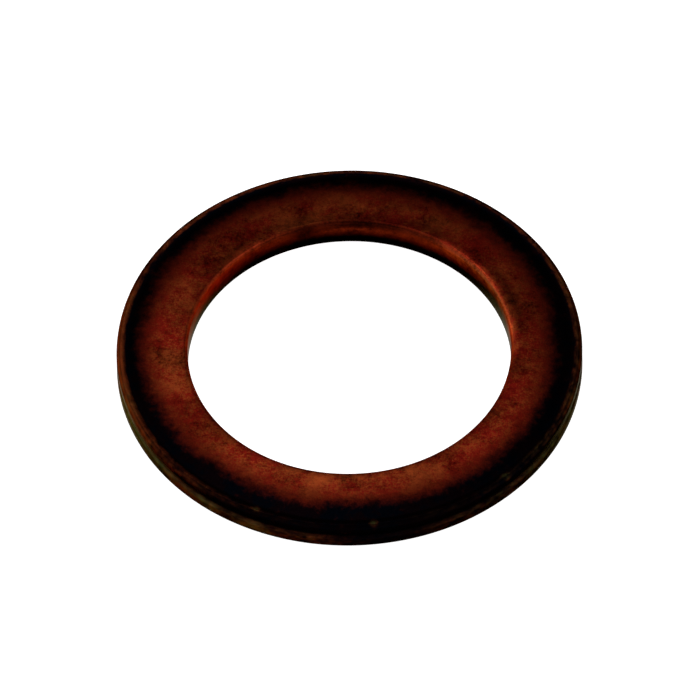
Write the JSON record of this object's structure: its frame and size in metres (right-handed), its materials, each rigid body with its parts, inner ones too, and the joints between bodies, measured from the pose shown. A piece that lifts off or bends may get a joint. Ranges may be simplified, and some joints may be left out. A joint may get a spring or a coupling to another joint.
{
  "type": "crush washer",
  "caption": "Round copper sealing washer folded from sheet, with a plain round bore, flat sealing faces, a rounded rim bead and an open seam around its outer wall.",
  "frame": {"origin": "on the washer's axis, in the plane of its lower face, on which it lies", "axes": "+Z along the axis, upwards through the bore; X and Y lie in the lower face and are alike"},
  "size_m": [0.0202, 0.0202, 0.0014],
  "materials": {
    "copper": "dull, heat-darkened soft copper with a fine matte grain, black in the dip inside the rim bead"
  },
  "bodies": {
    "root": {"crush_washer": "copper"}
  },
  "joints": []
}
